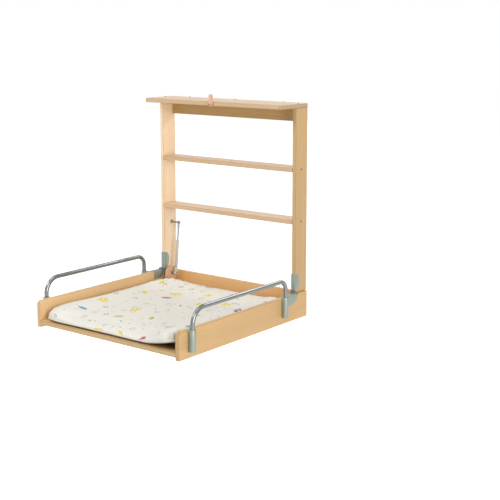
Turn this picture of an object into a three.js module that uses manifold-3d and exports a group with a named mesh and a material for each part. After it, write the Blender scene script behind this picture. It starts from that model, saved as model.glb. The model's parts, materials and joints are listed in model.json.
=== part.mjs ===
// A wall-mounted, fold-down baby changing table, in millimetres.
// The wall is the plane Y = 0 and the tray folds down towards -Y, with +Z up.
// Heights are counted from the underside of the tray; the finished part is then
// lowered so that its origin is the middle of the wall rail's back face.
import * as THREE from "three";
import { mergeVertices } from "three/addons/utils/BufferGeometryUtils.js";
import Module from "manifold-3d";

const wasm = await Module();
wasm.setup();

// Fits
const SEAT_GAP = 0.3;
const STOP_GAP = 0.5;
const RUNNING_GAP = 0.3;

// Boards
const BOARD = 18;
const EDGE_EASE = 2;
const FRAME_WIDTH = 760;
const UPRIGHT_DEPTH = 82;
const TRAY_RAIL_HEIGHT = 112;
const FRAME_HEIGHT = 782;
const TOP_DEPTH = 186;
const TOP_CORNER = 24;
const WALL_RAIL_HEIGHT = 60;
const SHELF_DEPTH = 86;
const UPPER_SHELF_TOP = 645;
const LOWER_SHELF_TOP = 424;

// Tray
const RAIL_PROUD = 10;
const TRAY_DEPTH = 836;
const TRAY_SETBACK = 8;
const REAR_RAIL_HEIGHT = 105;
const RAIL_NOSE = 22;
const RAIL_HEEL = 6;
const FLOOR_LIFT = 13;

// Hinges: the axis lies just in front of the uprights and just above the rails
const AXIS_FORWARD = 2;
const AXIS_RISE = 2;
const SHEET = 1.5;
const LUG = 6;
const PIN = 2.5;
const SLEEVE = 5;
const PIN_HEAD = 4.5;
const PIN_HEAD_LENGTH = 1.4;
const NOTCH_DEPTH = 7;
const NOTCH_HEIGHT = 10;
const GROOVE_HALF = 8;
const GROOVE_DEPTH = 7;
const CAP_DEPTH = 30;
const CAP_HEIGHT = 80;
const BRACKET_LENGTH = 61;
const CHEEK_HEIGHT = 36;
const CHEEK_CORNER = 8;

// Railing hoops
const TUBE = 9;
const HOOP_RISE = 77;
const HOOP_STANDOFF = 12;
const HOOP_FRONT_INSET = 65;
const HOOP_REAR_INSET = 98;
const HOOP_FRONT_BEND = 65;
const HOOP_REAR_BEND = 42;
const SOCKET_FLOOR = 6;
const REAR_SOCKET = { width: 25, low: 30, above: 6 };
const FRONT_SOCKET = { width: 28, low: 26, above: 0 };
const SOCKET_EASE = 1.5;
const GUSSET_HEIGHT = 54;
const HOOP_STEPS = 60;
const HOOP_SIDES = 12;

// Gas strut, in its own plane beside the left upright
const STRUT_STANDOFF = 22;
const STRUT_TOP_Y = -32;
const STRUT_TOP_RISE = 220;
const EAR_RADIUS = 30;
const EAR_CENTRE_DROP = 14;
const EAR_TOE = 6;
const EAR_TOE_DROP = 32;
const EAR_FROM_UPRIGHT = 4.5;
const STRUT_HEAD = 8;
const STRUT_HEAD_WIDTH = 10;
const STRUT_NECK = 5;
const STRUT_NECK_END = 25;
const ROD = 3;
const ROD_START = 12;
const ROD_END_ROOM = 14;
const CYLINDER = 6.5;
const CYLINDER_LENGTH = 128;
const CYLINDER_BASE = 8;
const STUD = 4;
const STUD_FLANGE = 9;
const STUD_FLANGE_LENGTH = 4;
const STUD_CAP = 5.5;
const STUD_CAP_LENGTH = 2;

// Screws and the turn button
const SCREW = { shank: 2.6, head: 5, headLength: 2.4, crown: 2 };
const SHELF_SCREW_Y = -42;
const SHELF_SCREW_LENGTH = 50;
const TOP_SCREW_LENGTH = 45;
const TOP_SCREW_UPRIGHT_Y = -54;
const TOP_SCREW_INSET = 100;
const CLIP_SCREW_Z = 50;
const CLIP_WEB = 0.9;
const BUTTON_X = 12;
const BUTTON_RISE = 7;
const BUTTON_WIDTH = 18;
const BUTTON_REACH = 43;
const BUTTON_THICKNESS = 10;
const BUTTON_SCREW_LENGTH = 40;

// Padded mat
const MAT_SIDE_GAP = 7;
const MAT_REAR = 34;
const MAT_FRONT_INSET = 2;
const MAT_CORNER = 62;
const MAT_REAR_CORNER = 175;
const MAT_DRAW_IN = 7;
const MAT_THICKNESS = 38;
const MAT_BOLSTER = 16;
const MAT_BOLSTER_START = 0.55;
const MAT_BOLSTER_FULL = 0.85;
const MAT_EDGE_ROUND = 26;
const MAT_SEAM_HEIGHT = 11;
const MAT_CORNER_LIFT = 27;
const MAT_LIFT_ACROSS = 175;
const MAT_LIFT_ALONG = 260;
const MAT_AROUND = 60;

// Places that several pieces share
const FRAME_HALF = FRAME_WIDTH / 2;
const UPRIGHT_INNER = FRAME_HALF - BOARD;
const TRAY_HALF = FRAME_HALF + RAIL_PROUD;
const RAIL_INNER = TRAY_HALF - BOARD;
const FRAME_BOTTOM = TRAY_RAIL_HEIGHT + STOP_GAP;
const FRAME_TOP = TRAY_RAIL_HEIGHT + FRAME_HEIGHT;
const WALL_RAIL_MIDDLE = FRAME_TOP - WALL_RAIL_HEIGHT / 2;
const FLOOR_TOP = FLOOR_LIFT + BOARD;
const AXIS_Y = -UPRIGHT_DEPTH - AXIS_FORWARD;
const AXIS_Z = TRAY_RAIL_HEIGHT + AXIS_RISE;
const HOOP_X = TRAY_HALF + HOOP_STANDOFF;
const HOOP_FRONT_Y = -TRAY_DEPTH + HOOP_FRONT_INSET;
const HOOP_REAR_Y = -UPRIGHT_DEPTH - HOOP_REAR_INSET;
const HOOP_TOP = TRAY_RAIL_HEIGHT + HOOP_RISE;
const STRUT_TOP_Z = TRAY_RAIL_HEIGHT + STRUT_TOP_RISE;
const REAR_RAIL_FRONT = -TRAY_SETBACK - BOARD;
const EAR_Y = REAR_RAIL_FRONT - EAR_RADIUS;
const EAR_Z = TRAY_RAIL_HEIGHT - EAR_CENTRE_DROP;
const EAR_OUTER = UPRIGHT_INNER - EAR_FROM_UPRIGHT;
const EAR_INNER = EAR_OUTER - BOARD;
const STRUT_PLANE = EAR_INNER - STRUT_STANDOFF;
const CLIP_SCREW_LENGTH = BOARD + HOOP_STANDOFF - TUBE - 2 * RUNNING_GAP - CLIP_WEB;
const BUTTON_Z = FRAME_TOP + BUTTON_RISE;
const SHELF_SCREW_HEIGHTS = { upper: UPPER_SHELF_TOP - BOARD / 2, lower: LOWER_SHELF_TOP - BOARD / 2 };

// Finishes
function finish(color, roughness, metalness) {
  return new THREE.MeshStandardMaterial({ color, roughness, metalness });
}

const BEECH = finish(0xd9b183, 0.55, 0);
const PLATED = finish(0x9eaca2, 0.4, 0.8);
const DARK_STEEL = finish(0x3b3f3d, 0.45, 0.8);
const TUBE_STEEL = finish(0xa8b0b0, 0.25, 1);
const CYLINDER_PAINT = finish(0xb9b9b4, 0.35, 0.4);
const SCREW_CAP = finish(0x9a958c, 0.5, 0.3);
const MAT_COVER = finish(0xe4e4de, 0.5, 0);

// Solids for joins and cuts
function toSolid(geometry) {
  const bare = new THREE.BufferGeometry();
  bare.setAttribute("position", geometry.getAttribute("position").clone());
  if (geometry.index) bare.setIndex(geometry.index.clone());
  const merged = mergeVertices(bare, 1e-4);
  const vertProperties = merged.attributes.position.array;
  const triVerts = new Uint32Array(merged.index.array);
  return new wasm.Manifold(new wasm.Mesh({ numProp: 3, vertProperties, triVerts }));
}

function toGeometry(solid) {
  const mesh = solid.getMesh();
  const geometry = new THREE.BufferGeometry();
  geometry.setAttribute("position", new THREE.BufferAttribute(mesh.vertProperties, 3));
  geometry.setIndex(new THREE.BufferAttribute(mesh.triVerts, 1));
  return geometry;
}

function cut(geometry, tools) {
  return toGeometry(tools.reduce((body, tool) => body.subtract(toSolid(tool)), toSolid(geometry)));
}

function join(geometries) {
  return toGeometry(geometries.map(toSolid).reduce((body, more) => body.add(more)));
}

// Directions: a shape is drawn in two axes and grows along the third
const AXES = {
  x: new THREE.Matrix4().makeBasis(
    new THREE.Vector3(0, 1, 0), new THREE.Vector3(0, 0, 1), new THREE.Vector3(1, 0, 0)),
  y: new THREE.Matrix4().makeBasis(
    new THREE.Vector3(0, 0, 1), new THREE.Vector3(1, 0, 0), new THREE.Vector3(0, 1, 0)),
  z: new THREE.Matrix4(),
};

// A flat piece with eased edges, grown from start to end along an axis
function slab(shape, axis, start, end, ease = 0) {
  const geometry = new THREE.ExtrudeGeometry(shape, {
    depth: end - start - 2 * ease,
    curveSegments: 8,
    bevelEnabled: ease > 0,
    bevelThickness: ease,
    bevelSize: ease,
    bevelOffset: -ease,
    bevelSegments: 2,
  });
  return geometry.translate(0, 0, start + ease).applyMatrix4(AXES[axis]);
}

// A closed outline of straight runs, with each corner rounded by its own radius
function outline(corners) {
  const shape = new THREE.Shape();
  const points = corners.map(([x, y]) => new THREE.Vector2(x, y));
  points.forEach((point, i) => {
    const radius = corners[i][2] ?? 0;
    const before = points[(i + points.length - 1) % points.length];
    const after = points[(i + 1) % points.length];
    const enter = before.clone().sub(point).setLength(radius).add(point);
    const leave = after.clone().sub(point).setLength(radius).add(point);
    if (i === 0) shape.moveTo(enter.x, enter.y);
    else shape.lineTo(enter.x, enter.y);
    if (radius > 0) shape.quadraticCurveTo(point.x, point.y, leave.x, leave.y);
  });
  shape.closePath();
  return shape;
}

function rectangle(x0, y0, x1, y1, radius = 0) {
  return outline([[x0, y0, radius], [x1, y0, radius], [x1, y1, radius], [x0, y1, radius]]);
}

// A turned piece: [radius, place] pairs along an axis that starts at a point
function turned(profile, axis, x, y, z, sides = 14) {
  const points = profile.map(([radius, place]) => new THREE.Vector2(radius, place));
  const geometry = new THREE.LatheGeometry(points, sides).rotateX(Math.PI / 2);
  return geometry.applyMatrix4(AXES[axis]).translate(x, y, z);
}

function rod(radius, axis, start, end, x, y, z, sides = 14) {
  return turned([[0, start], [radius, start], [radius, end], [0, end]], axis, x, y, z, sides);
}

// Scene graph
const station = new THREE.Group();
station.position.z = -WALL_RAIL_MIDDLE;
const rightSide = new THREE.Group();
const leftSide = new THREE.Group();
leftSide.scale.x = -1;
station.add(rightSide, leftSide);

function piece(name, geometry, material, parent = station) {
  const mesh = new THREE.Mesh(geometry, material);
  mesh.name = name;
  parent.add(mesh);
}

// The same piece on the right and, mirrored, on the left
function pair(name, geometry, material) {
  piece(name + "_right", geometry, material, rightSide);
  piece(name + "_left", geometry, material, leftSide);
}

// Screws: a crowned head at the origin of its own axis, the shank growing from it
function screw(length) {
  const { shank, head, headLength, crown } = SCREW;
  return [
    [0, -crown], [head - crown, -crown], [head, 0], [head, headLength],
    [shank, headLength], [shank, length], [0, length],
  ];
}

function screwHole(length) {
  const { shank, head, headLength } = SCREW;
  const gap = RUNNING_GAP;
  return [
    [0, -1], [head + gap, -1], [head + gap, headLength + gap], [shank + gap, headLength + gap],
    [shank + gap, length + gap], [0, length + gap],
  ];
}

// A screw's profile run the other way along its axis
const backwards = (profile) => profile.map(([radius, place]) => [radius, -place]).reverse();

// Uprights
function shelfScrewPlaces() {
  return Object.entries(SHELF_SCREW_HEIGHTS).map(([shelf, z]) => ({ shelf, y: SHELF_SCREW_Y, z }));
}

function topScrewPlaces() {
  const overUprights = FRAME_HALF - BOARD / 2;
  const overRail = UPRIGHT_INNER - TOP_SCREW_INSET;
  return [
    { name: "upright_left", x: -overUprights, y: TOP_SCREW_UPRIGHT_Y },
    { name: "rail_left", x: -overRail, y: -BOARD / 2 },
    { name: "rail_middle", x: 0, y: -BOARD / 2 },
    { name: "rail_right", x: overRail, y: -BOARD / 2 },
    { name: "upright_right", x: overUprights, y: TOP_SCREW_UPRIGHT_Y },
  ];
}

function topScrewHoles() {
  return topScrewPlaces().map(({ x, y }) =>
    turned(backwards(screwHole(TOP_SCREW_LENGTH)), "z", x, y, FRAME_TOP + BOARD));
}

function shelfScrewHoles() {
  return shelfScrewPlaces().flatMap(({ y, z }) => [
    turned(backwards(screwHole(SHELF_SCREW_LENGTH)), "x", FRAME_HALF, y, z),
    turned(screwHole(SHELF_SCREW_LENGTH), "x", -FRAME_HALF, y, z),
  ]);
}

function upright() {
  const front = -UPRIGHT_DEPTH;
  const side = outline([
    [0, FRAME_BOTTOM], [0, FRAME_TOP], [front, FRAME_TOP], [front, FRAME_BOTTOM + NOTCH_HEIGHT],
    [front + NOTCH_DEPTH, FRAME_BOTTOM + NOTCH_HEIGHT], [front + NOTCH_DEPTH, FRAME_BOTTOM],
  ]);
  const board = slab(side, "x", UPRIGHT_INNER, FRAME_HALF, EDGE_EASE);
  return cut(board, [...topScrewHoles(), ...shelfScrewHoles()]);
}

pair("upright", upright(), BEECH);

// Top board, wall rail and shelves
function topBoard() {
  const plan = outline([
    [-FRAME_HALF, 0], [-FRAME_HALF, -TOP_DEPTH, TOP_CORNER],
    [FRAME_HALF, -TOP_DEPTH, TOP_CORNER], [FRAME_HALF, 0],
  ]);
  const board = slab(plan, "z", FRAME_TOP, FRAME_TOP + BOARD, EDGE_EASE);
  return cut(board, [...topScrewHoles(), buttonScrewHole()]);
}

function buttonScrewHole() {
  return rod(SCREW.shank + RUNNING_GAP, "y", -1, BUTTON_SCREW_LENGTH, BUTTON_X, -TOP_DEPTH, BUTTON_Z);
}

function wallRail() {
  const face = rectangle(FRAME_TOP - WALL_RAIL_HEIGHT, -UPRIGHT_INNER, FRAME_TOP, UPRIGHT_INNER);
  return cut(slab(face, "y", -BOARD, 0, EDGE_EASE), topScrewHoles());
}

function shelf(top) {
  const plan = rectangle(-UPRIGHT_INNER, -SHELF_DEPTH, UPRIGHT_INNER, 0);
  return cut(slab(plan, "z", top - BOARD, top, EDGE_EASE), shelfScrewHoles());
}

piece("top_board", topBoard(), BEECH);
piece("wall_rail", wallRail(), BEECH);
piece("shelf_upper", shelf(UPPER_SHELF_TOP), BEECH);
piece("shelf_lower", shelf(LOWER_SHELF_TOP), BEECH);

for (const { shelf: name, y, z } of shelfScrewPlaces()) {
  const shape = turned(backwards(screw(SHELF_SCREW_LENGTH)), "x", FRAME_HALF, y, z);
  pair("shelf_screw_" + name, shape, SCREW_CAP);
}

for (const { name, x, y } of topScrewPlaces()) {
  const shape = turned(backwards(screw(TOP_SCREW_LENGTH)), "z", x, y, FRAME_TOP + BOARD);
  piece("top_screw_" + name, shape, SCREW_CAP);
}

// Hinge caps: a pressed steel U round each upright's front edge
const CAP_OUTER = FRAME_HALF + SEAT_GAP + SHEET;
const CAP_INNER = UPRIGHT_INNER - SEAT_GAP - SHEET;
const CAP_FRONT = -UPRIGHT_DEPTH - SEAT_GAP - SHEET;
const BRACKET_OUTER = TRAY_HALF + SEAT_GAP + SHEET;
const BRACKET_INNER = RAIL_INNER - SEAT_GAP - SHEET;
const LUG_HOLE = PIN + RUNNING_GAP;

function lugHole(start, end) {
  return rod(LUG_HOLE, "x", start - 1, end + 1, 0, AXIS_Y, AXIS_Z, 16);
}

// A cheek is a half-round plate whose lower end narrows to a lug, clear of the bracket that folds up to it
function capCheek(start) {
  const top = AXIS_Z + CAP_HEIGHT;
  const middle = AXIS_Z + CAP_HEIGHT / 2;
  const bulge = CAP_HEIGHT / 4;
  const flare = 2 * LUG;
  const back = CAP_FRONT + CAP_DEPTH;
  const shape = new THREE.Shape();
  shape.moveTo(CAP_FRONT, top);
  shape.bezierCurveTo(back, top, back, middle + bulge, back, middle);
  shape.bezierCurveTo(back, middle - bulge, AXIS_Y + flare, AXIS_Z + flare, AXIS_Y + LUG, AXIS_Z);
  shape.absarc(AXIS_Y, AXIS_Z, LUG, 0, -1.25 * Math.PI, true);
  shape.lineTo(CAP_FRONT, AXIS_Z + GROOVE_HALF);
  shape.closePath();
  return slab(shape, "x", start, start + SHEET);
}

function hingeCap() {
  const low = AXIS_Z + GROOVE_HALF + AXIS_RISE;
  const section = rectangle(CAP_FRONT, low, CAP_FRONT + SHEET, AXIS_Z + CAP_HEIGHT);
  const web = slab(section, "x", CAP_INNER, CAP_OUTER);
  const body = join([web, capCheek(CAP_INNER), capCheek(CAP_OUTER - SHEET)]);
  return cut(body, [lugHole(CAP_INNER, CAP_OUTER)]);
}

// Riveted pin: sleeves fill the room between the lugs of cap and bracket
function hingePin() {
  const lugs = [CAP_INNER, BRACKET_INNER, CAP_OUTER - SHEET, BRACKET_OUTER - SHEET];
  const sleeves = lugs.slice(0, -1).map((lug, i) => [lug + SHEET + SEAT_GAP, lugs[i + 1] - SEAT_GAP]);
  const first = CAP_INNER - SEAT_GAP;
  const last = BRACKET_OUTER + SEAT_GAP;
  const profile = [
    [0, first - PIN_HEAD_LENGTH], [PIN_HEAD, first - PIN_HEAD_LENGTH], [PIN_HEAD, first], [PIN, first],
    ...sleeves.flatMap(([from, to]) => [[PIN, from], [SLEEVE, from], [SLEEVE, to], [PIN, to]]),
    [PIN, last], [PIN_HEAD, last], [PIN_HEAD, last + PIN_HEAD_LENGTH], [0, last + PIN_HEAD_LENGTH],
  ];
  return turned(profile, "x", 0, AXIS_Y, AXIS_Z, 16);
}

pair("hinge_cap", hingeCap(), PLATED);
pair("hinge_pin", hingePin(), DARK_STEEL);

// Tray boards
function trayRail() {
  const groove = TRAY_RAIL_HEIGHT - GROOVE_DEPTH;
  const side = outline([
    [-TRAY_SETBACK, 0], [-TRAY_SETBACK, TRAY_RAIL_HEIGHT],
    [AXIS_Y + GROOVE_HALF, TRAY_RAIL_HEIGHT], [AXIS_Y + GROOVE_HALF, groove],
    [AXIS_Y - GROOVE_HALF, groove], [AXIS_Y - GROOVE_HALF, TRAY_RAIL_HEIGHT],
    [-TRAY_DEPTH, TRAY_RAIL_HEIGHT, RAIL_NOSE], [-TRAY_DEPTH, 0, RAIL_HEEL],
  ]);
  return cut(slab(side, "x", RAIL_INNER, TRAY_HALF, EDGE_EASE), [clipScrewHole()]);
}

function trayRearRail() {
  const face = rectangle(0, -RAIL_INNER, REAR_RAIL_HEIGHT, RAIL_INNER);
  return slab(face, "y", REAR_RAIL_FRONT, -TRAY_SETBACK, EDGE_EASE);
}

function trayFloor() {
  const plan = rectangle(-RAIL_INNER, -TRAY_DEPTH, RAIL_INNER, REAR_RAIL_FRONT);
  return slab(plan, "z", FLOOR_LIFT, FLOOR_TOP, EDGE_EASE);
}

pair("tray_rail", trayRail(), BEECH);
piece("tray_rear_rail", trayRearRail(), BEECH);
piece("tray_floor", trayFloor(), BEECH);

// Railing hoops in their sockets
const SOCKET_BACK = TRAY_HALF + SEAT_GAP;

function socket(y, { width, low, above }) {
  const half = width / 2;
  const plan = new THREE.Shape();
  plan.moveTo(SOCKET_BACK, y - half);
  plan.lineTo(HOOP_X - SEAT_GAP, y - half);
  plan.absarc(HOOP_X - SEAT_GAP, y, half, -Math.PI / 2, Math.PI / 2, false);
  plan.lineTo(SOCKET_BACK, y + half);
  plan.closePath();
  return slab(plan, "z", low, TRAY_RAIL_HEIGHT + above, SOCKET_EASE);
}

function socketBore(y, { low, above }) {
  const mouth = TRAY_RAIL_HEIGHT + above + 1;
  return rod(TUBE + RUNNING_GAP, "z", low + SOCKET_FLOOR, mouth, HOOP_X, y, 0, 16);
}

// The clip's screw goes through the rail and stops in the clip's back wall, beside the tube
function clipScrewHole() {
  return turned(screwHole(CLIP_SCREW_LENGTH), "x", RAIL_INNER, HOOP_FRONT_Y, CLIP_SCREW_Z);
}

function railingClip() {
  const body = socket(HOOP_FRONT_Y, FRONT_SOCKET);
  return cut(body, [socketBore(HOOP_FRONT_Y, FRONT_SOCKET), clipScrewHole()]);
}

// A quarter circle in the hoop's plane, run clockwise from a starting angle
class QuarterBend extends THREE.Curve {
  constructor(y, z, radius, start) {
    super();
    Object.assign(this, { y, z, radius, start });
  }

  getPoint(t) {
    const angle = this.start - (t * Math.PI) / 2;
    return new THREE.Vector3(
      HOOP_X, this.y + this.radius * Math.cos(angle), this.z + this.radius * Math.sin(angle));
  }
}

function hoopLine() {
  const at = (y, z) => new THREE.Vector3(HOOP_X, y, z);
  const foot = ({ low }) => low + SOCKET_FLOOR + RUNNING_GAP;
  const frontBend = HOOP_TOP - HOOP_FRONT_BEND;
  const rearBend = HOOP_TOP - HOOP_REAR_BEND;
  const topStart = HOOP_FRONT_Y + HOOP_FRONT_BEND;
  const topEnd = HOOP_REAR_Y - HOOP_REAR_BEND;
  const line = new THREE.CurvePath();
  line.add(new THREE.LineCurve3(at(HOOP_FRONT_Y, foot(FRONT_SOCKET)), at(HOOP_FRONT_Y, frontBend)));
  line.add(new QuarterBend(topStart, frontBend, HOOP_FRONT_BEND, Math.PI));
  line.add(new THREE.LineCurve3(at(topStart, HOOP_TOP), at(topEnd, HOOP_TOP)));
  line.add(new QuarterBend(topEnd, rearBend, HOOP_REAR_BEND, Math.PI / 2));
  line.add(new THREE.LineCurve3(at(HOOP_REAR_Y, rearBend), at(HOOP_REAR_Y, foot(REAR_SOCKET))));
  return line;
}

function railing() {
  const section = new THREE.Shape().absarc(0, 0, TUBE, 0, 2 * Math.PI);
  return new THREE.ExtrudeGeometry(section, {
    extrudePath: hoopLine(), steps: HOOP_STEPS, curveSegments: HOOP_SIDES / 2,
  });
}

pair("railing", railing(), TUBE_STEEL);
pair("railing_clip", railingClip(), PLATED);
pair("railing_clip_screw",
  turned(screw(CLIP_SCREW_LENGTH), "x", RAIL_INNER, HOOP_FRONT_Y, CLIP_SCREW_Z), SCREW_CAP);

// Hinge brackets: a steel U over each rail, whose outer cheek is a gusset back from the hoop's socket
const BRACKET_TOP = TRAY_RAIL_HEIGHT + SEAT_GAP + SHEET;
const BRACKET_FRONT = AXIS_Y - BRACKET_LENGTH;
const BRACKET_BACK = AXIS_Y - GROOVE_HALF - SEAT_GAP;

// A cheek's outline: flat below, and drawn up at the back into the lug round the pin
function bracketCheek(start, front, frontLow, backLow) {
  const shape = new THREE.Shape();
  shape.moveTo(front, frontLow);
  shape.lineTo(front, BRACKET_TOP);
  shape.lineTo(BRACKET_BACK, BRACKET_TOP);
  shape.lineTo(AXIS_Y - LUG, AXIS_Z + LUG / 2);
  shape.absarc(AXIS_Y, AXIS_Z, LUG, Math.PI * 0.8, -Math.PI / 6, true);
  shape.lineTo(AXIS_Y - LUG / 2, backLow + CHEEK_CORNER);
  shape.lineTo(AXIS_Y - LUG - CHEEK_CORNER, backLow);
  shape.closePath();
  return slab(shape, "x", start, start + SHEET);
}

function hingeBracket() {
  const cheekLow = BRACKET_TOP - CHEEK_HEIGHT;
  const section = rectangle(BRACKET_FRONT, BRACKET_TOP - SHEET, BRACKET_BACK, BRACKET_TOP);
  const web = slab(section, "x", BRACKET_INNER, BRACKET_OUTER);
  const body = join([
    web,
    bracketCheek(BRACKET_INNER, BRACKET_FRONT, cheekLow, cheekLow),
    bracketCheek(BRACKET_OUTER - SHEET, HOOP_REAR_Y, TRAY_RAIL_HEIGHT - GUSSET_HEIGHT, cheekLow),
    socket(HOOP_REAR_Y, REAR_SOCKET),
  ]);
  return cut(body, [socketBore(HOOP_REAR_Y, REAR_SOCKET), lugHole(BRACKET_INNER, BRACKET_OUTER)]);
}

pair("hinge_bracket", hingeBracket(), PLATED);

// Gas strut: the rod hangs from the upright and the cylinder ends at the ear
const STRUT_RUN = STRUT_TOP_Y - EAR_Y;
const STRUT_FALL = STRUT_TOP_Z - EAR_Z;
const STRUT_LENGTH = Math.hypot(STRUT_RUN, STRUT_FALL);
const CYLINDER_END = STRUT_LENGTH - STRUT_NECK_END;
const CYLINDER_START = CYLINDER_END - CYLINDER_LENGTH;
const CYLINDER_FLOOR = CYLINDER_END - CYLINDER_BASE;

function strutEar() {
  const toe = EAR_Y - EAR_RADIUS - EAR_TOE;
  const side = new THREE.Shape();
  side.moveTo(REAR_RAIL_FRONT, FLOOR_TOP);
  side.lineTo(REAR_RAIL_FRONT, EAR_Z);
  side.absarc(EAR_Y, EAR_Z, EAR_RADIUS, 0, Math.PI, false);
  side.lineTo(toe, EAR_Z - EAR_TOE_DROP);
  side.lineTo(toe, FLOOR_TOP);
  side.closePath();
  return slab(side, "x", -EAR_OUTER, -EAR_INNER, EDGE_EASE);
}

// A stud grows inwards from a board's face to the strut
function stud(face, end, capped, y, z) {
  const base = -face + SEAT_GAP;
  const capEnd = end + STUD_CAP_LENGTH;
  const cap = [[STUD_CAP, end], [STUD_CAP, capEnd], [0, capEnd]];
  const profile = [
    [0, base], [STUD_FLANGE, base], [STUD_FLANGE, base + STUD_FLANGE_LENGTH],
    [STUD, base + STUD_FLANGE_LENGTH], [STUD, end], ...(capped ? cap : [[0, end]]),
  ];
  return turned(profile, "x", 0, y, z);
}

// An end fitting: an eye across the strut and a neck along it; places count down the strut
function strutEnd(eye, neckFrom, neckTo) {
  const half = STRUT_HEAD_WIDTH / 2;
  return join([
    rod(STRUT_HEAD, "x", -half, half, 0, 0, -eye, 18),
    rod(STRUT_NECK, "z", -neckTo, -neckFrom, 0, 0, 0),
  ]);
}

function strutEndUpper() {
  const half = STRUT_HEAD_WIDTH / 2;
  const eyeHole = rod(STUD + RUNNING_GAP, "x", -half - 1, half + 1, 0, 0, 0, 16);
  const rodHole = rod(ROD + RUNNING_GAP, "z", -STRUT_NECK_END - 1, -ROD_START + RUNNING_GAP, 0, 0, 0);
  return cut(strutEnd(0, 0, STRUT_NECK_END), [eyeHole, rodHole]);
}

function strutCylinder() {
  const bore = ROD + RUNNING_GAP;
  const shoulder = CYLINDER / 4;
  return turned([
    [0, -CYLINDER_END], [CYLINDER - shoulder, -CYLINDER_END], [CYLINDER, -CYLINDER_END + shoulder],
    [CYLINDER, -CYLINDER_START - shoulder], [CYLINDER - shoulder, -CYLINDER_START], [bore, -CYLINDER_START],
    [bore, -CYLINDER_FLOOR], [0, -CYLINDER_FLOOR],
  ], "z", 0, 0, 0, 18);
}

const strut = new THREE.Group();
strut.position.set(-STRUT_PLANE, STRUT_TOP_Y, STRUT_TOP_Z);
strut.rotation.x = -Math.atan2(STRUT_RUN, STRUT_FALL);
station.add(strut);

// The upper stud goes through its eye; the lower one stops beside its eye
const UPPER_STUD_END = -STRUT_PLANE + STRUT_HEAD_WIDTH / 2 + SEAT_GAP;
const LOWER_STUD_END = -STRUT_PLANE - STRUT_HEAD_WIDTH / 2 - STOP_GAP;

piece("strut_ear", strutEar(), BEECH);
piece("strut_stud_upper", stud(UPRIGHT_INNER, UPPER_STUD_END, true, STRUT_TOP_Y, STRUT_TOP_Z), DARK_STEEL);
piece("strut_stud_lower", stud(EAR_INNER, LOWER_STUD_END, false, EAR_Y, EAR_Z), DARK_STEEL);
piece("strut_end_upper", strutEndUpper(), DARK_STEEL, strut);
piece("strut_rod", rod(ROD, "z", -CYLINDER_FLOOR + ROD_END_ROOM, -ROD_START, 0, 0, 0), TUBE_STEEL, strut);
piece("strut_cylinder", strutCylinder(), CYLINDER_PAINT, strut);
piece("strut_end_lower",
  strutEnd(STRUT_LENGTH, CYLINDER_END + SEAT_GAP, STRUT_LENGTH), DARK_STEEL, strut);

// Turn button on the top board's front edge, shown turned up and clear of the tray
const BUTTON_BACK = -TOP_DEPTH - SEAT_GAP;
const BUTTON_FRONT = BUTTON_BACK - BUTTON_THICKNESS;

function turnButton() {
  const half = BUTTON_WIDTH / 2;
  const face = new THREE.Shape();
  face.absarc(BUTTON_Z + BUTTON_REACH - half, BUTTON_X, half, -Math.PI / 2, Math.PI / 2, false);
  face.absarc(BUTTON_Z, BUTTON_X, half, Math.PI / 2, 1.5 * Math.PI, false);
  face.closePath();
  const hole = rod(SCREW.shank + RUNNING_GAP, "y", BUTTON_FRONT - 1, BUTTON_BACK + 1, BUTTON_X, 0, BUTTON_Z);
  return cut(slab(face, "y", BUTTON_FRONT, BUTTON_BACK, EDGE_EASE), [hole]);
}

function turnButtonScrew() {
  const head = BUTTON_FRONT - SEAT_GAP - SCREW.headLength;
  const tip = -TOP_DEPTH + BUTTON_SCREW_LENGTH - RUNNING_GAP;
  return turned(screw(tip - head), "y", BUTTON_X, head, BUTTON_Z);
}

piece("turn_button", turnButton(), BEECH);
piece("turn_button_screw", turnButtonScrew(), DARK_STEEL);

// Padded mat: crowned, fuller along its sides, drawn in between its corners, one front corner curling up
const MAT_HALF = RAIL_INNER - MAT_SIDE_GAP;
const MAT_FRONT = -TRAY_DEPTH + MAT_FRONT_INSET;
const MAT_BACK = -MAT_REAR;
const MAT_MIDDLE = (MAT_FRONT + MAT_BACK) / 2;
const MAT_REST = FLOOR_TOP + SEAT_GAP;
const MAT_TOP_RINGS = [0.2, 0.4, 0.58, 0.72, 0.83, 0.91, 0.96, 0.99];
const MAT_BOTTOM_RINGS = [0.985, 0.94, 0.8, 0.5];

const smooth = (t) => {
  const s = Math.min(1, Math.max(0, t));
  return s * s * (3 - 2 * s);
};

function matLift(x, y) {
  const across = (x - (MAT_HALF - MAT_LIFT_ACROSS)) / MAT_LIFT_ACROSS;
  const along = (MAT_FRONT + MAT_LIFT_ALONG - y) / MAT_LIFT_ALONG;
  return MAT_CORNER_LIFT * smooth(across) * smooth(along);
}

// Height of the cover over the floor, at a share of the way out from the middle
function matTop(x, y, share) {
  const fromEdge = (1 - share) * MAT_HALF;
  const round = Math.min(1, fromEdge / MAT_EDGE_ROUND);
  const across = Math.abs(x) / MAT_HALF;
  const bolster = smooth((across - MAT_BOLSTER_START) / (MAT_BOLSTER_FULL - MAT_BOLSTER_START));
  const full = MAT_THICKNESS + MAT_BOLSTER * bolster;
  return MAT_SEAM_HEIGHT + (full - MAT_SEAM_HEIGHT) * Math.sqrt(1 - (1 - round) ** 2);
}

function matBottom(share) {
  const round = Math.min(1, ((1 - share) * MAT_HALF) / MAT_SEAM_HEIGHT);
  return MAT_SEAM_HEIGHT * (1 - Math.sqrt(1 - (1 - round) ** 2));
}

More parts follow.
